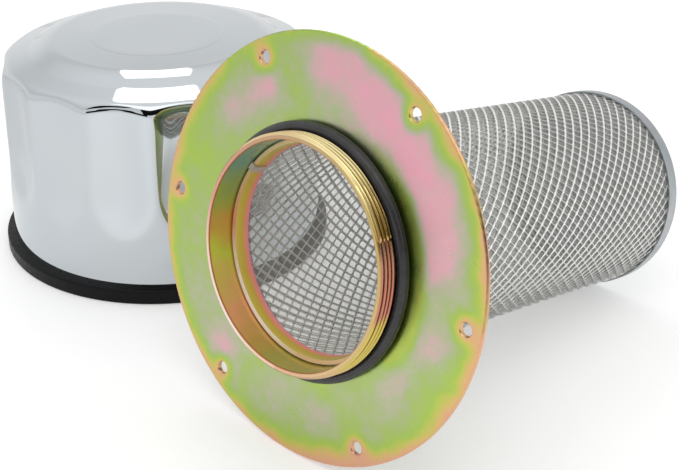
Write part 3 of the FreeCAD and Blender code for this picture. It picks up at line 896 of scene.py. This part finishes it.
def make_object():
    dress(zinc_flange(), "mounting_flange")
    dress(zinc_collar(), "strainer_collar")
    dress(tab_metal(), "collar_tab")
    dress(rubber("o_ring_rubber", "2A292B", "37373A", 0.45, 0.24), "neck_o_ring")
    dress(rubber("hem_rubber", "060607", "0A0A0B", 0.16, 0.36), "cap_seal_ring")
    dress(clear_zinc(), "basket_top_band", "basket_end_cap", "cap_base_plate", "bridge_spider",
          "element_lower_disc", "element_core", "element_upper_disc", "stud_washer", "retaining_nut")
    dress(turned_steel(), "cap_thread_ring", "retaining_stud", "stud_spacer")
    dress(filter_paper(), "pleated_element")
    dress(pressed_felt(), "element_gasket")
    make_neck(zinc_neck())
    # Painted highlight and painted shade: the steep and the shallow outer strands are one galvanised
    # steel, given a brighter and a greyer copy of its colour
    wide = mesh_steel("mesh_strand_painted_highlight", "E6E6E4", "F6F6F4", 0.7, 0.3)
    narrow = mesh_steel("mesh_strand_painted_shade", "BCBCBA", "D2D2CF", 0.7, 0.4)
    inner = mesh_steel("mesh_strand_inner", "C8C8C4", "DADAD6", 0.2, 0.45)
    for layer, material in zip(STRAND_LAYERS, (wide, narrow, inner, inner)):
        make_strands(layer, material)
    make_gauze(gauze_steel())
    make_shell(chrome())


# Camera, light and floor

def make_camera():
    heading = math.radians(CAMERA_HEADING_DEG)
    pitch = math.radians(CAMERA_PITCH_DEG)
    level = math.cos(pitch)
    forward = Vector((level * math.cos(heading), level * math.sin(heading), -math.sin(pitch)))
    data = bpy.data.cameras.new("camera")
    data.lens = LENS_MM
    data.sensor_width = SENSOR_MM
    data.clip_start = 0.01
    camera = bpy.data.objects.new("camera", data)
    camera.location = CAMERA_PLACE
    camera.rotation_euler = forward.to_track_quat("-Z", "Y").to_euler()
    bpy.context.scene.collection.objects.link(camera)
    bpy.context.scene.camera = camera


def make_world():
    """White to the camera, a soft tent of slightly uneven white to metal, plain light to the rest."""
    world = bpy.data.worlds.new("studio")
    world.use_nodes = True
    sky = Nodes(world.node_tree)
    background = sky.tree.nodes["Background"]
    background.inputs["Color"].default_value = (1, 1, 1, 1)
    direction = sky.node("ShaderNodeTexCoord").outputs["Generated"]
    tent = sky.curve(sky.node("ShaderNodeSeparateXYZ", direction).outputs["Z"], TENT_LEVELS)
    ray = sky.node("ShaderNodeLightPath").outputs
    lit = sky.blend(ray["Is Glossy Ray"], AMBIENT, tent)
    seen = sky.maths("MAXIMUM", ray["Is Camera Ray"], ray["Is Transmission Ray"])
    sky.feed(background.inputs["Strength"], sky.blend(seen, lit, 1.0))
    bpy.context.scene.world = world


def floor_look():
    """Pale floor that glows evenly to the camera, and by bearing from the cap to metal."""
    look = Look("pale_floor", Base_Color=(0.86, 0.86, 0.86, 1), Roughness=1.0, Specular_IOR_Level=0.0)
    look.shader.inputs["Emission Color"].default_value = (1, 1, 1, 1)
    middle = math.radians(GLOW_START_DEG + GLOW_SWEEP_DEG / 2)
    turned = CAP @ Matrix.Rotation(middle, 4, "Z")
    x, y = axes(look, look.place(turned))[:2]
    radius = off_axis(look, x, y)
    angle = round_axis(look, x, y)
    share = look.sum(look.maths("DIVIDE", angle, GLOW_SWEEP_DEG), 0.5)
    uneven = look.minus(look.curve(share, GLOW_LEVELS), FLOOR_GLOW)
    far_out = look.maths("MAXIMUM", look.span(radius, 150, 210), look.span(angle, -58, -41, 1.0, 0.0))
    ray = look.node("ShaderNodeLightPath").outputs
    seen = look.maths("MAXIMUM", ray["Is Camera Ray"], ray["Is Glossy Ray"])
    seen = look.maths("MAXIMUM", seen, ray["Is Transmission Ray"])
    change = look.times(far_out, uneven, ray["Is Glossy Ray"])
    look.drive("Emission Strength", look.sum(look.times(seen, FLOOR_GLOW), change))
    return look


def make_card(name, corners, look):
    """A flat sheet of the studio."""
    mesh = bpy.data.meshes.new(name)
    mesh.from_pydata(corners, [], [(0, 1, 2, 3)])
    mesh.materials.append(look.material)
    card = bpy.data.objects.new(name, mesh)
    bpy.context.scene.collection.objects.link(card)
    return card


def make_floor():
    reach = FLOOR_REACH
    corners = [(-reach, -reach, 0), (reach, -reach, 0), (reach, reach, 0), (-reach, reach, 0)]
    make_card("floor", corners, floor_look())


def round_cap(bearing_deg, distance, sideways, height):
    """A place on a compass bearing from the cap, moved sideways to its left."""
    bearing = math.radians(bearing_deg)
    ahead = Vector((math.cos(bearing), math.sin(bearing), 0))
    left = Vector((-ahead.y, ahead.x, 0))
    return CAP.translation + ahead * distance + left * sideways + Vector((0, 0, height))


def make_panel(name, near, far, radiance):
    """A glowing panel overhead, unseen by the camera."""
    corners = []
    for (bearing, distance, half_width), signs in ((near, (-1, 1)), (far, (1, -1))):
        corners += [round_cap(bearing, distance, sign * half_width, PANEL_H) for sign in signs]
    black = (0, 0, 0, 1)
    look = Look(name, Base_Color=black, Emission_Color=(1, 1, 1, 1), Emission_Strength=radiance)
    panel = make_card(name, corners, look)
    panel.visible_camera = False
    panel.visible_shadow = False


def make_dark_card(name, bearing, half_width, low, high):
    """A dark upright card behind the camera that only metal sees."""
    corners = []
    for sign, height in ((-1, low), (1, low), (1, high), (-1, high)):
        corners.append(round_cap(bearing, CARD_DISTANCE, sign * half_width, height))
    card = make_card(name, corners, Look(name, Base_Color=(0.01, 0.01, 0.01, 1), Specular_IOR_Level=0.0))
    card.visible_camera = False
    card.visible_shadow = False
    card.visible_diffuse = False


def make_stage():
    make_world()
    make_floor()
    for panel in PANELS:
        make_panel(*panel)
    for card in DARK_CARDS:
        make_dark_card(*card)


make_object()
make_camera()
make_stage()
bpy.context.scene.view_settings.view_transform = "Standard"
